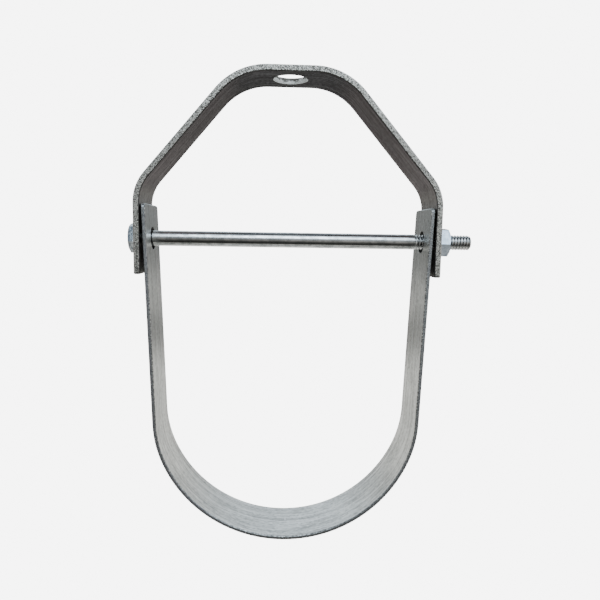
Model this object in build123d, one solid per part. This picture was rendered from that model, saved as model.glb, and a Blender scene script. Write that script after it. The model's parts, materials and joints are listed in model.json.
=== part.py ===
from build123d import *
from math import cos, radians, sin, tan
import os

# Clevis pipe hanger: a yoke bent from flat bar hangs on a threaded rod, and a
# lighter strap, bent to a U that cradles the pipe, swings in it on a cross bolt.
#
# Frame, in millimetres: +Z up, X along the cross bolt with its nut on +X, and Y
# along the pipe. The origin is the centre of the rod hole, at the underside of
# the yoke's top.

# ---- flat bar ----
bar_width = 25.4            # yoke and strap, along the pipe
yoke_thick = 2.5
strap_thick = 1.6
edge_break = 0.3            # flat broken on the long edges of both bars

# ---- yoke ----
yoke_span = 123.4           # over the outsides of the two legs
arm_slope = 40.6            # degrees that each arm leans in from upright
top_reach = 21.5            # centre to where the outsides of top and arm would meet
top_bend = 27.0             # outside radius between top and arm
leg_bend = 18.5             # outside radius between arm and leg
bolt_drop = 65.05           # underside of the top down to the bolt's axis
leg_below_bolt = 14.3       # yoke leg's cut end below the bolt's axis
rod_hole = 14.2             # clears a half inch hanger rod
yoke_bolt_hole = 7.1
yoke_corner = 0.8           # corners of the yoke's cut ends

# ---- strap ----
strap_gap = 0.65            # strap's outside to yoke's inside, at the strap's ends
strap_above_bolt = 13.7     # strap's cut end above the bolt's axis
strap_drop = 126.5          # bolt's axis down to the underside of the strap
leg_lean = 2.1              # degrees that each strap leg leans in as it goes down
side_bend = 47.0            # outside radius of the tighter bend on each side
side_turn = 22.0            # degrees turned by that bend
strap_corner = 1.8          # corners of the strap's ends
strap_bolt_hole = 9.4

# ---- cross bolt and nut, quarter inch, 20 threads to the inch ----
bolt_dia = 6.35
bolt_past_leg = 15.6        # bolt's tip beyond the yoke's right leg
thread_length = 24.5
thread_relief = 0.1         # threads stand this much lower than the smooth shank
tip_bevel = 0.6
hex_flats = 11.11           # across flats, head and nut
head_height = 4.0
nut_height = 6.1
nut_clearance = 0.05        # round the thread, in the nut's bore
nut_mouth = 0.4             # bevel at both ends of that bore
hex_bevel = 30.0            # degrees, on the corners of head and nut
head_turn = 16.5            # degrees that each hex is turned from flat to the front
nut_turn = 24.0


def bent_bar(path, thickness, corner):
    """Flat bar along a path in the XZ plane, which is the outside of all its bends."""
    section = make_face(offset(path, amount=thickness, side=Side.RIGHT, closed=True))
    bar = extrude(section, bar_width / 2, both=True)
    # the four short edges through the thickness, two at each cut end
    ends = bar.edges().filter_by(Axis.Y, reverse=True).sort_by(SortBy.LENGTH)[:4]
    bar = fillet(ends, corner)
    sides = bar.faces().filter_by(Axis.Y).edges()
    return chamfer([e for e in sides if e.length > 1.5 * thickness], edge_break)


def cross_hole(diameter):
    """Cutter along the cross bolt's axis, right through both legs."""
    return Pos(0, 0, -bolt_drop) * Rot(0, 90, 0) * Cylinder(diameter / 2, 2 * yoke_span)


# ---- yoke: top, two sloped arms and two legs, joined by four bends ----
yoke_half = yoke_span / 2
corner_z = yoke_thick - (yoke_half - top_reach) / tan(radians(arm_slope))
leg_end_z = -bolt_drop - leg_below_bolt
with BuildLine(Plane.XZ) as yoke_path:
    FilletPolyline(
        (yoke_half, leg_end_z), (yoke_half, corner_z), (top_reach, yoke_thick),
        (-top_reach, yoke_thick), (-yoke_half, corner_z), (-yoke_half, leg_end_z),
        radius=[leg_bend, top_bend, top_bend, leg_bend])
upper_yoke = bent_bar(yoke_path.wire(), yoke_thick, yoke_corner)
upper_yoke -= Pos(0, 0, yoke_thick / 2) * Cylinder(rod_hole / 2, 4 * yoke_thick)
upper_yoke -= cross_hole(yoke_bolt_hole)

# ---- strap: straight legs, a tighter bend at each side, a wide cradle below ----
end_half = yoke_half - yoke_thick - strap_gap
end_z = strap_above_bolt - bolt_drop
low_z = -bolt_drop - strap_drop
lean = radians(leg_lean)
turned = radians(leg_lean + side_turn)
# how much larger the cradle's radius is, so that cradle, bend and leg stay tangent
reach = end_half * cos(lean) - (end_z - low_z - side_bend) * sin(lean) - side_bend
grow = reach / (cos(turned) * cos(lean) - (1 - sin(turned)) * sin(lean))
cradle = side_bend + grow
cradle_z = low_z + cradle
bend_x = grow * cos(turned)
bend_z = cradle_z - grow * sin(turned)
with BuildLine(Plane.XZ) as strap_path:
    for side in (1, -1):
        foot = (side * (bend_x + side_bend * cos(lean)), bend_z - side_bend * sin(lean))
        Line((side * end_half, end_z), foot)
        sweep_start = -leg_lean if side > 0 else 180 + leg_lean
        CenterArc((side * bend_x, bend_z), side_bend, sweep_start, -side * side_turn)
    CenterArc((0, cradle_z), cradle, -leg_lean - side_turn, 2 * (leg_lean + side_turn) - 180)
lower_strap = bent_bar(strap_path.wire(), strap_thick, strap_corner)
lower_strap -= cross_hole(strap_bolt_hole)

# ---- cross bolt and its nut ----


def hexagon(height, turn, near_bevel):
    """Hexagonal block along +X from the YZ plane, bevelled on its far end's corners."""
    outline = RegularPolygon(hex_flats / 2, 6, major_radius=False, rotation=30 - turn)
    corner = hex_flats / 2 / cos(radians(30))
    face = 0.475 * hex_flats
    fall = (corner - face) * tan(radians(hex_bevel))
    near = [(0, face), (fall, corner)] if near_bevel else [(0, corner)]
    far = [(height - fall, corner), (height, face)]
    with BuildLine(Plane.XZ) as turned_line:
        Polyline((0, 0), *near, *far, (height, 0), close=True)
    turned = revolve(make_face(turned_line.line), Axis.X)
    return turned & extrude(Plane.YZ * outline, height)


bolt_axis = Pos(0, 0, -bolt_drop)
shank_r = bolt_dia / 2
thread_r = shank_r - thread_relief
tip_x = yoke_half + bolt_past_leg
with BuildLine(Plane.XZ) as bolt_line:
    Polyline((-yoke_half, 0), (-yoke_half, shank_r), (tip_x - thread_length, shank_r),
             (tip_x - thread_length, thread_r), (tip_x - tip_bevel, thread_r),
             (tip_x, thread_r - tip_bevel), (tip_x, 0), close=True)
head = Pos(-yoke_half, 0, 0) * mirror(hexagon(head_height, head_turn, False), Plane.YZ)
cross_bolt = bolt_axis * (revolve(make_face(bolt_line.line), Axis.X) + head)

bore_r = thread_r + nut_clearance
hex_nut = hexagon(nut_height, nut_turn, True)
hex_nut -= Rot(0, 90, 0) * Cylinder(bore_r, 4 * nut_height)
mouths = hex_nut.edges().filter_by(GeomType.CIRCLE)
hex_nut = chamfer([e for e in mouths if abs(e.radius - bore_r) < 1e-3], nut_mouth)
hex_nut = bolt_axis * Pos(yoke_half, 0, 0) * hex_nut

os.makedirs("parts", exist_ok=True)
for name, solid in {"upper_yoke": upper_yoke, "lower_strap": lower_strap,
                    "cross_bolt": cross_bolt, "hex_nut": hex_nut}.items():
    export_step(solid, f"parts/{name}.step")
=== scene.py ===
import json
import math

import bmesh
import bpy
from mathutils import Matrix, Vector


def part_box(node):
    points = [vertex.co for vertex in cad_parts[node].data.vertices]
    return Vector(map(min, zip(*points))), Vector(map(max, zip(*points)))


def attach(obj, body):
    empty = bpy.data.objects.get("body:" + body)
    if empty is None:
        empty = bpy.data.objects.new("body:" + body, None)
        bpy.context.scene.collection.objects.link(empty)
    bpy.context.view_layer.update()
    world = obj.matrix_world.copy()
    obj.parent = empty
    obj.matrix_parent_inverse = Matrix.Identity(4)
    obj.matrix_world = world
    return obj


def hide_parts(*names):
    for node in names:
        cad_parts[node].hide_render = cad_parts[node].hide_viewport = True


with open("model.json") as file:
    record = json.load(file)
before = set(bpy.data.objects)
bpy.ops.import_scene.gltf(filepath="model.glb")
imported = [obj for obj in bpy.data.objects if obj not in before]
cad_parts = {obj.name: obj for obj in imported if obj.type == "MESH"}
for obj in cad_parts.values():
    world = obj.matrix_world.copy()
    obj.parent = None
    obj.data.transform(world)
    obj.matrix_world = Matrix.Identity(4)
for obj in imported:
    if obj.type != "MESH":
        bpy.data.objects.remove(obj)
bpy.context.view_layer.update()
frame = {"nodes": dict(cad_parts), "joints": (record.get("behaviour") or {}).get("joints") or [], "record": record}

# A clevis pipe hanger. The yoke and the strap are the CAD model's own solids, in new steel. The
# cross bolt and its nut are replaced by pieces of the same size, so that the bolt has its thread.
# Named sizes and places are in millimetres, and named angles in degrees.

MM = 0.001               # metres in a millimetre
X, Y, Z = range(3)


def metres(values):
    return [value * MM for value in values]


# ---------------------------------------------------------------- sizes

def node_box(node):
    """Lowest and highest corner of a CAD node, to a micrometre."""
    return [[round(value / MM, 3) for value in corner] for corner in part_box(node)]


# places and sizes that the CAD model gives
yoke_low, yoke_high = node_box("upper_yoke")
bolt_low, bolt_high = node_box("cross_bolt")
nut_low, nut_high = node_box("hex_nut")
joints = {joint["name"]: joint for joint in frame["joints"]}
mounts = {mount["name"]: mount for mount in frame["record"]["mounts"]}
BOLT_Z = round(joints["strap_swing"]["pos_m"][Z] / MM, 3)      # the strap swings on the bolt
ROD_HOLE_R = mounts["rod_hole"]["dims"]["r_mm"]
BAR_HALF = yoke_high[Y]

# the same sizes as in the CAD model, which its boxes don't give
BOLT_R = 6.35 / 2
PITCH = 1.27
THREAD_LENGTH = 24.5
TIP_BEVEL = 0.6
HEX_FLATS = 11.11
HEX_BEVEL = 30.0
HEAD_TURN = 16.5         # how far above the front a flat of each hexagon faces
NUT_TURN = 24.0

# the thread's own form
THREAD_DEPTH = 0.70
THREAD_CREST = 0.30      # share of the pitch that stays at full height
THREAD_RELIEF = 0.06     # rolled crests stand this much under the smooth shank
THREAD_RUN_IN = 1.5      # pitches over which the thread reaches its full depth
ROOT_ROUNDING = 0.35     # 0 is a flat root between straight flanks, and 1 is one round hollow
FLANK_STEEPNESS = 1.25   # over 1, so that straight flanks stop at a flat root

# how the bolt, its head and the nut are closed and divided
SHANK_IN_HEAD = 0.5
HEAD_CORE_R = 0.02       # the head's end faces run in to this small middle
NUT_BITE = 0.03          # the nut's bore stands this much inside the smooth shank's radius
HEX_FACE_R = 0.475 * HEX_FLATS       # the round end face that the bevel leaves
ROD_POINTS = 64
HEX_POINTS = 144
RINGS_PER_PITCH = 16
HEX_SHARP = 28.0         # an edge looks sharp from this angle between its faces
THREAD_SHARP = 50.0
MERGE_WITHIN = 0.0001    # points this near each other become one
SHORTEST_EDGE = 0.00001


# ---------------------------------------------------------------- meshes

def make_object(name, verts, faces, material, body, slot, sharp):
    """Mesh object in the row frame, smooth but for its sharp edges."""
    mesh = bpy.data.meshes.new(name)
    mesh.from_pydata([Vector(v) * MM for v in verts], [], faces)
    bm = bmesh.new()
    bm.from_mesh(mesh)
    bmesh.ops.remove_doubles(bm, verts=bm.verts, dist=MERGE_WITHIN * MM)
    bmesh.ops.dissolve_degenerate(bm, edges=bm.edges, dist=SHORTEST_EDGE * MM)
    bmesh.ops.recalc_face_normals(bm, faces=bm.faces)
    for face in bm.faces:
        face.smooth = True
    for edge in bm.edges:
        if len(edge.link_faces) == 2:
            edge.smooth = edge.calc_face_angle() < math.radians(sharp)
    bm.to_mesh(mesh)
    bm.free()
    mesh.materials.append(material)
    obj = bpy.data.objects.new(name, mesh)
    bpy.context.scene.collection.objects.link(obj)
    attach(obj, body)
    return obj


def on_bolt(x, radius, angle):
    """A point round the cross bolt's axis; angle 0 faces the front, a quarter turn faces up."""
    return (x, -radius * math.cos(angle), BOLT_Z + radius * math.sin(angle))


def rings_to_mesh(rings, closed_ends=True):
    """Rings with the same number of points, each joined to the next by four-sided faces."""
    verts, faces, count = [], [], len(rings[0])
    for ring in rings:
        verts += ring
    for start in range(0, len(verts) - count, count):
        for i in range(count):
            a, b = start + i, start + (i + 1) % count
            faces.append((a, b, b + count, a + count))
    if closed_ends:
        faces.append(tuple(range(count - 1, -1, -1)))
        faces.append(tuple(range(len(verts) - count, len(verts))))
    return verts, faces


def hex_radius(angle, turn):
    """Distance from the axis to a hexagon's side, in the direction of angle."""
    step = math.radians(60)
    off = (angle - math.radians(turn) + step / 2) % step - step / 2
    return HEX_FLATS / 2 / math.cos(off)


def hexagon_rings(x0, x1, turn, bevel_both, bore):
    """Rings of a hexagonal block, from its bore at x0, over its outside, to its bore at x1.
    Its corners are bevelled at x1, and at x0 too where bevel_both is true."""
    inward = 1 if x1 > x0 else -1
    slope = math.tan(math.radians(HEX_BEVEL))
    angles = [math.radians(turn) + 2 * math.pi * i / HEX_POINTS for i in range(HEX_POINTS)]
    radii = [hex_radius(angle, turn) for angle in angles]

    def circle(x, radius):
        return [on_bolt(x, radius, angle) for angle in angles]

    def outline(x, way):
        """The hexagon at the end at x; way is the bevel's direction along X, or 0 for no bevel."""
        return [on_bolt(x + way * (radius - HEX_FACE_R) * slope, radius, angle)
                for radius, angle in zip(radii, angles)]

    near = [circle(x0, HEX_FACE_R), outline(x0, inward)] if bevel_both else [outline(x0, 0)]
    far = [outline(x1, -inward), circle(x1, HEX_FACE_R)]
    return [circle(x0, bore)] + near + far + [circle(x1, bore)]


def thread_cut(phase):
    """Share of the thread's depth at a place in the pitch: 0 on the crest, 1 in the root's middle."""
    rise = abs(phase - 0.5) * 2
    cut = 1 - min(1.0, rise / (1 - THREAD_CREST))
    rounded = cut * cut * (3 - 2 * cut)
    straight = min(1.0, cut * FLANK_STEEPNESS)
    return rounded * ROOT_ROUNDING + straight * (1 - ROOT_ROUNDING)


def threaded_rod(x0, x1, x_thread):
    """Smooth shank from x0 to x_thread, then a rolled thread to a bevelled tip at x1."""
    angles = [2 * math.pi * i / ROD_POINTS for i in range(ROD_POINTS)]
    rings = [[on_bolt(x, BOLT_R, angle) for angle in angles] for x in (x0, x_thread - PITCH)]
    steps = round((x1 - x_thread) / PITCH * RINGS_PER_PITCH)
    for step in range(steps + 1):
        x = x_thread + (x1 - x_thread) * step / steps
        run_in = min(1.0, (x - x_thread) / (THREAD_RUN_IN * PITCH))
        full = BOLT_R - THREAD_RELIEF * run_in
        bevelled = full - max(0.0, TIP_BEVEL - (x1 - x))
        ring = []
        for angle in angles:
            phase = ((x - x_thread) / PITCH - angle / (2 * math.pi)) % 1.0
            threaded = full - THREAD_DEPTH * thread_cut(phase) * run_in
            ring.append(on_bolt(x, min(threaded, bevelled), angle))
        rings.append(ring)
    return rings_to_mesh(rings)


# ---------------------------------------------------------------- shader nodes

def opaque(value):
    """A colour, or the grey of one number, with full alpha."""
    return (*value, 1) if isinstance(value, tuple) else (value, value, value, 1)


class Nodes:
    """A shader tree, with short calls that add nodes to it and give back what they put out."""

    def __init__(self, tree):
        self.tree = tree
        tree.nodes.clear()

    def node(self, kind, inputs=None, **settings):
        """A new node, with its settings and with what goes into each input, by name or number."""
        made = self.tree.nodes.new("ShaderNode" + kind)
        for name, value in settings.items():
            setattr(made, name, value)
        for key, value in (inputs or {}).items():
            self.feed(made.inputs[key], value)
        return made

    def feed(self, socket, value):
        """Links what another node puts out, and sets anything else on the socket itself."""
        if isinstance(value, bpy.types.NodeSocket):
            self.tree.links.new(value, socket)
        elif socket.type == "RGBA":
            socket.default_value = opaque(value)
        else:
            socket.default_value = value

    def math(self, operation, a, b=0.0):
        return self.node("Math", {0: a, 1: b}, operation=operation).outputs[0]

    def times(self, first, *others):
        for other in others:
            first = self.math("MULTIPLY", first, other)
        return first

    def weighted(self, *parts):
        """Sum of values, each times its share."""
        total = 0.0
        for value, share in parts:
            total = self.math("ADD", total, self.times(value, share))
        return total

    def between(self, value, low, high):
        """0 below low and 1 above high, with a smooth step between them; low may be the larger."""
        inputs = {"Value": value, "From Min": min(low, high), "From Max": max(low, high),
                  "To Min": float(low > high), "To Max": float(low < high)}
        return self.node("MapRange", inputs, interpolation_type="SMOOTHSTEP").outputs[0]

    def split(self, vector):
        return self.node("SeparateXYZ", {0: vector}).outputs

    def ramp(self, value, stops):
        """Colours or greys at places from 0 to 1, blended between them."""
        made = self.node("ValToRGB", {0: value})
        band = made.color_ramp
        while len(band.elements) < len(stops):
            band.elements.new(0.5)
        for element, (place, colour) in zip(band.elements, stops):
            element.position = place
            element.color = opaque(colour)
        return made.outputs[0]

    def mix(self, factor, a, b):
        """Colour a where factor is 0, and b where it is 1."""
        return self.node("Mix", {0: factor, 6: a, 7: b}, data_type="RGBA").outputs[2]


class Metal(Nodes):
    """A metal's material, with patterns that lie in object space."""

    def __init__(self, name):
        self.material = bpy.data.materials.new(name)
        self.material.use_nodes = True
        super().__init__(self.material.node_tree)
        self.shader = self.node("BsdfPrincipled", {"Metallic": 1.0})
        self.node("OutputMaterial", {"Surface": self.shader.outputs[0]})
        coordinates = self.node("TexCoord").outputs
        self.place = coordinates["Object"]
        self.x, self.y, self.z = self.split(self.place)
        self.normal = self.split(coordinates["Normal"])

    def noise(self, waves, detail, rough):
        """Noise with so many waves to the metre: one number, or one for each axis."""
        vector, scale = self.place, waves
        if isinstance(waves, tuple):
            vector = self.node("Mapping", {"Vector": self.place, "Scale": waves}).outputs[0]
            scale = 1.0
        inputs = {"Vector": vector, "Scale": scale, "Detail": detail, "Roughness": rough}
        return self.node("TexNoise", inputs).outputs["Fac"]

    def mark(self, centre, size):
        """1 at a small worn or dirty place, falling to 0 at its edge."""
        shift = self.node("VectorMath", {0: self.place, 1: metres(centre)}, operation="SUBTRACT")
        scale = self.node("VectorMath", {0: shift.outputs[0], 1: metres(size)}, operation="DIVIDE")
        far = self.node("VectorMath", {0: scale.outputs[0]}, operation="LENGTH")
        return self.between(far.outputs["Value"], 1.0, 0.3)

    def painted_gap_shade(self, reach):
        """Painted shade: 0 deep in a gap and 1 in the open, from what stands within reach, to darken the colour
        there.
        """
        shade = self.node("AmbientOcclusion", {"Distance": reach * MM}, samples=8)
        return self.between(shade.outputs["AO"], 0.15, 0.75)

    def surface(self, colour, rough, relief, strength, depth, corner=None):
        """The finished material; corner is the radius that its sharp edges seem to have."""
        bump = self.node("Bump", {"Height": relief, "Strength": strength, "Distance": depth * MM})
        if corner:
            bevel = self.node("Bevel", {"Radius": corner * MM}, samples=6)
            self.feed(bump.inputs["Normal"], bevel.outputs[0])
        looks = {"Base Color": colour, "Roughness": rough, "Normal": bump.outputs[0]}
        for name, value in looks.items():
            self.feed(self.shader.inputs[name], value)
        return self.material


# ---------------------------------------------------------------- steel of the two bars

# each pattern's waves to the metre (one number, or one each along X, Y and Z, where Y is across
# the bars), its detail and its roughness
STREAKS = ((85, 2100, 85), 3.0, 0.6)
BANDS = ((30, 420, 30), 2.0, 0.5)
CLOUDS = (95.0, 4.0, 0.65)
GRAIN = ((650, 1250, 650), 3.0, 0.7)
SCRATCHES = ((75, 1700, 75), 1.0, 0.55)
SPECKLES = (2100.0, 2.0, 0.75)
LUMPS = (800.0, 2.0, 0.5)
SMEARS = ((45, 800, 45), 3.0, 0.6)
SAND = (900.0, 2.0, 0.7)
PITS = ((1400, 1400, 620), 1.0, 0.55)
TEARS = ((330, 330, 700), 2.0, 0.6)
GROOVES = ((13, 1150, 13), 1.0, 0.55)
NICKS = (1500.0, 2.0, 0.7)

BAR_PAINTED_SHADE_REACH = 2.5        # how near another piece must stand for painted shade to darken a bar
BAR_RELIEF = 0.18
PIT_ROW_X = yoke_low[X] + 1.5
BORE_LINE_UNEVENNESS = 6.0
# where each of these starts to show, and where it shows in full
CORNER_SHADE_Y = (BAR_HALF - 0.7, BAR_HALF - 0.45)
PIT_ROW_ASIDE = (0.7, 0.2)           # either way from the row's middle
PIT_ROW_HEIGHT = (-67.0, -69.0)
BORE_R = (ROD_HOLE_R + 0.25, ROD_HOLE_R + 0.1)
BORE_HEIGHT = (-0.01, 0.05)          # so the yoke's flat underside has none of it
BORE_DARK_HEIGHT = (3.8, 4.8)             # of a place's height and its unevenness together

# small places on the strap's inside: centre, and half size along each axis
SCUFFS = (((-54.2, 3.5, -126.5), (2.0, 0.7, 1.0)),
          ((-36.5, 9.8, -175.9), (0.7, 0.5, 0.7)),
          ((7.8, 1.7, -189.4), (0.6, 0.5, 0.6)))
BRIGHT_SCRATCH = ((0.1, 1.9, -189.9), (0.45, 2.0, 1.0))


def bar_steel(name, light, dark, edge_light, edge_dark, pitting, rough, corner, marks_and_shade):
    """Zinc-coated flat bar: drawn along its faces, sheared and pitted on its two long edges.
    The last argument is the function that adds what only one of the bars has: marks, and on the yoke painted shade
    too."""
    metal = Metal(name)
    streak = metal.noise(*STREAKS)
    band = metal.noise(*BANDS)
    cloud = metal.noise(*CLOUDS)
    grain = metal.noise(*GRAIN)
    tone = metal.weighted((streak, 0.30), (band, 0.12), (cloud, 0.18), (grain, 0.40))
    face = metal.ramp(tone, [(0.43, dark), (0.57, light)])
    scratch = metal.between(metal.noise(*SCRATCHES), 0.66, 0.73)
    face = metal.mix(metal.times(scratch, 0.5), face, tuple(0.4 * c for c in dark))

    speckle = metal.noise(*SPECKLES)
    lumps = metal.noise(*LUMPS)
    rough_cut = metal.weighted((speckle, 0.75), (lumps, 0.25))
    pits = tuple((1 - pitting) * c for c in edge_dark)
    edge = metal.ramp(rough_cut, [(0.43, pits), (0.48, edge_dark), (0.54, edge_light)])

    is_edge = metal.between(metal.math("ABSOLUTE", metal.normal[Y]), 0.75, 0.9)
    # painted shade: the colour goes nearly black in gaps beside other pieces
    colour = metal.mix(metal.painted_gap_shade(BAR_PAINTED_SHADE_REACH), 0.05, metal.mix(is_edge, face, edge))
    face_rough = metal.ramp(tone, [(0.40, rough + 0.10), (0.60, rough - 0.04)])
    edge_rough = metal.ramp(rough_cut, [(0.35, 0.62), (0.60, 0.34)])
    colour, roughness = marks_and_shade(metal, colour, metal.mix(is_edge, face_rough, edge_rough))
    relief = metal.mix(is_edge, metal.mix(0.4, streak, grain), rough_cut)
    return metal.surface(colour, roughness, relief, strength=0.55, depth=BAR_RELIEF, corner=corner)


def to_middle(metal):
    """How squarely a face looks to the hanger's middle, from the left or from the right."""
    return metal.times(metal.normal[X], metal.math("SIGN", metal.x), -1.0)


def painted_underside_shade(metal, colour):
    """Painted shade on the yoke's underside: dark under its arms and nearly black under its top, by how far a face
    looks down.
    """
    smear = metal.noise(*SMEARS)
    sand = metal.noise(*SAND)
    tone = metal.weighted((smear, 0.6), (sand, 0.4))
    arm = metal.ramp(tone, [(0.42, (0.160, 0.135, 0.141)), (0.50, (0.235, 0.207, 0.214)),
                            (0.58, (0.350, 0.322, 0.330))])
    top = metal.ramp(tone, [(0.43, (0.040, 0.038, 0.042)), (0.50, (0.088, 0.085, 0.092)),
                            (0.57, (0.190, 0.190, 0.205))])
    colour = metal.mix(metal.between(metal.normal[Z], -0.2, -0.6), colour, arm)
    return metal.mix(metal.between(metal.normal[Z], -0.66, -0.95), colour, top)


def painted_corner_shade(metal, colour):
    """Painted shade, as a burr's shadow: a dark line along the yoke's inner corners, where they face down or to
    the middle.
    """
    under = metal.math("MAXIMUM", metal.times(metal.normal[Z], -1.0), to_middle(metal))
    inner = metal.between(under, 0.15, 0.3)
    corner = metal.between(metal.math("ABSOLUTE", metal.y), *metres(CORNER_SHADE_Y))
    return metal.mix(metal.times(inner, corner, 0.85), colour, 0.05)


def pit_row(metal, colour):
    """A row of deeper pits down the front edge of the yoke's left leg, below the bolt."""
    aside = metal.math("SUBTRACT", metal.x, PIT_ROW_X * MM)
    row = metal.between(metal.math("ABSOLUTE", aside), *metres(PIT_ROW_ASIDE))
    below_bolt = metal.between(metal.z, *metres(PIT_ROW_HEIGHT))
    front = metal.between(metal.normal[Y], -0.8, -0.95)
    pit = metal.between(metal.noise(*PITS), 0.52, 0.60)
    return metal.mix(metal.times(below_bolt, front, row, pit, 0.6), colour, (0.05, 0.045, 0.04))


def rod_bore(metal):
    """Where the rod hole's wall is, and its colour: bright below, and dark above an uneven line."""
    x_squared = metal.times(metal.x, metal.x)
    y_squared = metal.times(metal.y, metal.y)
    away = metal.math("SQRT", metal.math("ADD", x_squared, y_squared))
    near_hole = metal.between(away, *metres(BORE_R))
    in_bore = metal.times(near_hole, metal.between(metal.z, *metres(BORE_HEIGHT)))
    uneven = metal.times(metal.noise(*TEARS), BORE_LINE_UNEVENNESS * MM)
    upper_dark = metal.between(metal.math("ADD", metal.z, uneven), *metres(BORE_DARK_HEIGHT))
    return in_bore, metal.mix(metal.times(upper_dark, 0.92), (1.0, 0.99, 0.95), (0.16, 0.15, 0.13))


def yoke_marks_and_shade(metal, colour, rough):
    """Colour and roughness with what only the yoke has: painted shade under it and along its inner corners, its
    pits, and its rod hole's wall.
    """
    colour = painted_underside_shade(metal, colour)
    colour = painted_corner_shade(metal, colour)
    colour = pit_row(metal, colour)
    in_bore, bore = rod_bore(metal)
    return metal.mix(in_bore, colour, bore), metal.mix(in_bore, rough, 0.62)


def drawn_lines(metal, colour):
    """Long dark and bright lines on the strap's inside."""
    inside = metal.between(metal.math("MAXIMUM", metal.normal[Z], to_middle(metal)), 0.4, 0.6)
    groove = metal.noise(*GROOVES)
    for low, high, tone in ((0.59, 0.68, 0.28), (0.41, 0.32, 1.0)):
        line = metal.times(metal.between(groove, low, high), inside, 0.5)
        colour = metal.mix(line, colour, tone)
    return colour


def nicked_corners(metal, colour):
    """The broken corners of the strap's long edges, dull and nicked."""
    across = metal.math("ABSOLUTE", metal.normal[Y])
    corner = metal.times(metal.between(across, 0.45, 0.65), metal.between(across, 0.9, 0.8))
    nick = metal.times(metal.between(metal.noise(*NICKS), 0.62, 0.42), 0.9)
    return metal.mix(metal.times(corner, nick), colour, (0.13, 0.13, 0.135))


def strap_marks(metal, colour, rough):
    """Colour and roughness with what only the strap has, down to its scuffs and one scratch."""
    colour = drawn_lines(metal, colour)
    colour = nicked_corners(metal, colour)
    for centre, size in SCUFFS:
        colour = metal.mix(metal.times(metal.mark(centre, size), 0.75), colour, 0.12)
    return metal.mix(metal.times(metal.mark(*BRIGHT_SCRATCH), 0.6), colour, 1.0), rough


yoke_steel = bar_steel(
    "yoke_steel", light=(0.66, 0.64, 0.62), dark=(0.34, 0.32, 0.31),
    edge_light=(1.0, 0.98, 0.91), edge_dark=(0.48, 0.46, 0.42), pitting=0.6,
    rough=0.34, corner=0.4, marks_and_shade=yoke_marks_and_shade)
strap_steel = bar_steel(
    "strap_steel", light=(0.88, 0.89, 0.87), dark=(0.47, 0.48, 0.465),
    edge_light=(0.60, 0.61, 0.62), edge_dark=(0.40, 0.41, 0.42), pitting=0.3,
    rough=0.33, corner=0.12, marks_and_shade=strap_marks)

# ---------------------------------------------------------------- zinc of the bolt and nut

ZINC_PAINTED_SHADE_REACH = 1.2       # how near another surface must stand for painted shade to darken the zinc
ZINC_RELIEF = 0.06


def zinc(name, light, dark, rough, lines, clouds, strength):
    """Bright zinc plate: fine lines of the drawn or cut metal, under a cloudy skin.
    Lines and clouds are in waves to the metre, and strength is the relief's."""
    metal = Metal(name)
    cloud = metal.noise(clouds, 3.0, 0.6)
    line = metal.noise(lines, 3.0, 0.6)
    tone = metal.weighted((cloud, 0.6), (line, 0.4))
    end = metal.between(metal.math("ABSOLUTE", metal.normal[X]), 0.90, 0.98)
    tone = metal.mix(metal.times(end, 0.65), tone, 0.52)      # the turned ends are plainer
    skin = metal.ramp(tone, [(0.42, dark), (0.58, light)])
    # painted shade: the colour goes dark in the thread's roots and beside other pieces
    colour = metal.mix(metal.painted_gap_shade(ZINC_PAINTED_SHADE_REACH), 0.10, skin)
    roughness = metal.ramp(tone, [(0.38, rough + 0.10), (0.62, rough - 0.03)])
    return metal.surface(colour, roughness, tone, strength, depth=ZINC_RELIEF)


bolt_zinc = zinc("bolt_zinc", light=(0.93, 0.94, 0.94), dark=(0.54, 0.56, 0.56), rough=0.13,
                 lines=(220, 1500, 1500), clouds=420.0, strength=0.6)
# painted shade: the head, one piece with the shank, gets a darker and bluer copy of the shank's zinc
head_zinc_painted_shade = zinc("head_zinc_painted_shade", light=(0.72, 0.78, 0.82), dark=(0.18, 0.21, 0.24), rough=0.10,
                 lines=(1100, 700, 1500), clouds=620.0, strength=0.7)
nut_zinc = zinc("nut_zinc", light=(0.60, 0.68, 0.78), dark=(0.42, 0.49, 0.57), rough=0.16,
                lines=(900, 300, 300), clouds=420.0, strength=0.3)

# ---------------------------------------------------------------- the hanger

for node, material in (("upper_yoke", yoke_steel), ("lower_strap", strap_steel)):
    for material_slot in frame["nodes"][node].material_slots:
        material_slot.material = material

rod = threaded_rod(yoke_low[X] - SHANK_IN_HEAD, bolt_high[X], bolt_high[X] - THREAD_LENGTH)
shank = make_object("bolt_thread", *rod, bolt_zinc, "yoke", "bolt", THREAD_SHARP)
rings = hexagon_rings(yoke_low[X], bolt_low[X], HEAD_TURN, False, HEAD_CORE_R)
head = make_object("bolt_head", *rings_to_mesh(rings), head_zinc_painted_shade, "yoke", "bolt", HEX_SHARP)
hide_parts("cross_bolt")
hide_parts("cross_bolt")
rings = hexagon_rings(nut_low[X], nut_high[X], NUT_TURN, True, BOLT_R - NUT_BITE)
tube = rings_to_mesh(rings + [rings[0]], closed_ends=False)
nut = make_object("nut", *tube, nut_zinc, "yoke", "nut", HEX_SHARP)
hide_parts("hex_nut")

# ---------------------------------------------------------------- stage, light, camera

BACKDROP = 6.9           # brightness of the pale floor and backdrop, as the camera sees them
FLOOR_Z = -340.0
FLOOR_HALF = 6000.0

# brightness of the studio all round the cross bolt's axis: degrees up from the front
STUDIO = ((-180, 0.17), (-172, 0.17), (-166, 0.09), (-145, 0.07), (-134, 0.45), (-115, 0.75),
          (-97, 0.72), (-84, 0.60), (-71, 0.38), (-62, 0.05), (-47, 0.02), (-30, 0.05), (-15, 0.14),
          (-6, 0.24), (1, 0.26), (14, 0.36), (24, 0.40), (66, 0.40), (80, 0.30), (97, 0.14),
          (118, 0.20), (132, 0.80), (150, 1.45), (161, 0.80), (172, 0.19), (180, 0.17))
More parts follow.
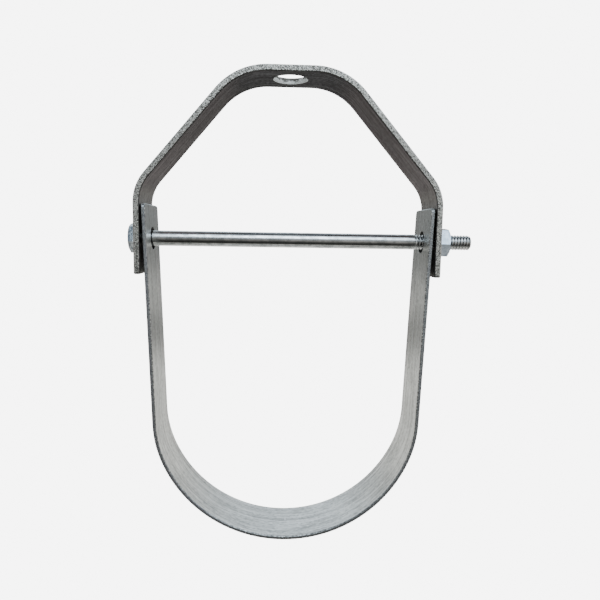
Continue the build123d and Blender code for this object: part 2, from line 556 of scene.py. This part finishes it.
# the long soft light above the camera, in the same degrees
SOFT_LIGHT = ((22, 0.0), (31, 3.2), (45, 5.0), (56, 2.6), (72, 0.0))
# the rest go by how far a direction points right or up, from -1 to 1: how the soft light
# fades to the sides, how the front brightens to the right, and the two sides likewise
SOFT_ACROSS = ((-0.21, 0.0), (-0.17, 0.85), (0.0, 1.1), (0.2, 0.62), (0.3, 0.50), (0.7, 0.35))
FRONT_ACROSS = ((-0.3, 0.72), (0.0, 1.0), (0.3, 1.35))
SIDE_TO_SIDE = ((-1.0, 0.85), (1.0, 1.15))
# what stands to the left and right, by height, and how the light's tint goes from low to high
SIDES = ((-1.0, 0.10), (-0.3, 0.35), (0.0, 0.70), (0.35, 0.80), (1.0, 0.60))
TINT_BY_HEIGHT = ((-0.1, 0.0), (0.5, 1.0))
LOW_TINT = (1.02, 1.008, 0.952)
HIGH_TINT = (0.86, 0.99, 1.10)
SIDES_FROM = 0.45        # how far to the side they start to show, and show in full
SIDES_FULL = 0.85

# two low area lights behind the hanger, which face the front and light the strap's inside:
# name, height of the middle, height of the light itself, and watts
LOW_LIGHTS = (("low_reflector", -257.5, 215.0, 0.316),
              ("low_strip", -106.0, 32.0, 0.021))
LOW_LIGHT_Y = 200.0
LOW_LIGHT_WIDTH = 600.0
LOW_LIGHT_COLOUR = (1.0, 1.0, 0.95)

CAMERA_PLACE = (-6.4, -239.1, -62.65)
# turns one after the other: to the right, down, the camera's own roll, and last the quarter
# turn that makes a camera look along +Y
CAMERA_TURNS = (("Z", -2.78), ("X", -6.61), ("Y", -0.92), ("X", 90.0))
CAMERA_NEAR = 10.0
FOCAL_LENGTH = 33.87
SENSOR_WIDTH = 36.0


def stage_floor():
    """A pale floor for the camera, which neither lights the hanger nor shows in its metal."""
    corners = [metres((x, y, FLOOR_Z)) for x, y in (
        (-FLOOR_HALF, -FLOOR_HALF), (FLOOR_HALF, -FLOOR_HALF),
        (FLOOR_HALF, FLOOR_HALF), (-FLOOR_HALF, FLOOR_HALF))]
    mesh = bpy.data.meshes.new("floor")
    mesh.from_pydata(corners, [], [(0, 1, 2, 3)])
    material = bpy.data.materials.new("floor_pale")
    material.use_nodes = True
    nodes = Nodes(material.node_tree)
    glow = nodes.node("Emission", {"Color": BACKDROP})
    nodes.node("OutputMaterial", {"Surface": glow.outputs[0]})
    mesh.materials.append(material)
    floor = bpy.data.objects.new("floor", mesh)
    bpy.context.scene.collection.objects.link(floor)
    floor.visible_diffuse = floor.visible_glossy = floor.visible_shadow = False


def studio_world():
    """Studio light from all round; the camera itself sees only the pale backdrop."""
    world = bpy.data.worlds.new("studio")
    bpy.context.scene.world = world
    world.use_nodes = True
    nodes = Nodes(world.node_tree)

    def curve(value, stops, low, high):
        """Brightness from stops of (place, brightness), with places from low to high."""
        share = nodes.node("MapRange", {"Value": value, "From Min": low, "From Max": high})
        return nodes.ramp(share.outputs[0], [((place - low) / (high - low), bright)
                                             for place, bright in stops])

    x, y, z = nodes.split(nodes.node("TexCoord").outputs["Generated"])
    turn = nodes.times(nodes.math("ARCTAN2", z, nodes.times(y, -1.0)), 180 / math.pi)
    ring = curve(turn, STUDIO, -180, 180)
    in_front = nodes.times(x, nodes.math("LESS_THAN", y, 0.0))
    ring = nodes.times(ring, curve(in_front, FRONT_ACROSS, -1, 1))
    soft = nodes.times(curve(turn, SOFT_LIGHT, -180, 180), curve(x, SOFT_ACROSS, -1, 1))
    ahead = nodes.math("ADD", ring, soft)
    sides = nodes.times(curve(z, SIDES, -1, 1), curve(x, SIDE_TO_SIDE, -1, 1))
    aside = nodes.between(nodes.math("ABSOLUTE", x), SIDES_FROM, SIDES_FULL)
    strength = nodes.node("Mix", {0: aside, 2: ahead, 3: sides}, data_type="FLOAT")
    tint = nodes.mix(curve(z, TINT_BY_HEIGHT, -1, 1), LOW_TINT, HIGH_TINT)

    lit = nodes.node("Background", {"Color": tint, "Strength": strength.outputs[0]})
    seen = nodes.node("Background", {"Color": BACKDROP})
    is_camera = nodes.node("LightPath").outputs["Is Camera Ray"]
    shown = nodes.node("MixShader", {0: is_camera, 1: lit.outputs[0], 2: seen.outputs[0]})
    nodes.node("OutputWorld", {"Surface": shown.outputs[0]})


def low_light(name, middle, height, watts):
    """A wide rectangle of light behind the hanger, which the camera doesn't see."""
    light = bpy.data.lights.new(name, "AREA")
    light.shape = "RECTANGLE"
    light.size = LOW_LIGHT_WIDTH * MM
    light.size_y = height * MM
    light.energy = watts
    light.color = LOW_LIGHT_COLOUR
    obj = bpy.data.objects.new(name, light)
    obj.location = metres((0.0, LOW_LIGHT_Y, middle))
    obj.rotation_euler = Vector((0.0, -1.0, 0.0)).to_track_quat("-Z", "Y").to_euler()
    obj.visible_camera = False
    bpy.context.scene.collection.objects.link(obj)


def add_camera():
    data = bpy.data.cameras.new("camera")
    data.sensor_width = SENSOR_WIDTH
    data.lens = FOCAL_LENGTH
    data.clip_start = CAMERA_NEAR * MM
    camera = bpy.data.objects.new("camera", data)
    bpy.context.scene.collection.objects.link(camera)
    stand = Matrix.Translation(metres(CAMERA_PLACE))
    for axis, angle in CAMERA_TURNS:
        stand = stand @ Matrix.Rotation(math.radians(angle), 4, axis)
    camera.matrix_world = stand
    bpy.context.scene.camera = camera


stage_floor()
studio_world()
for name, middle, height, watts in LOW_LIGHTS:
    low_light(name, middle, height, watts)
add_camera()
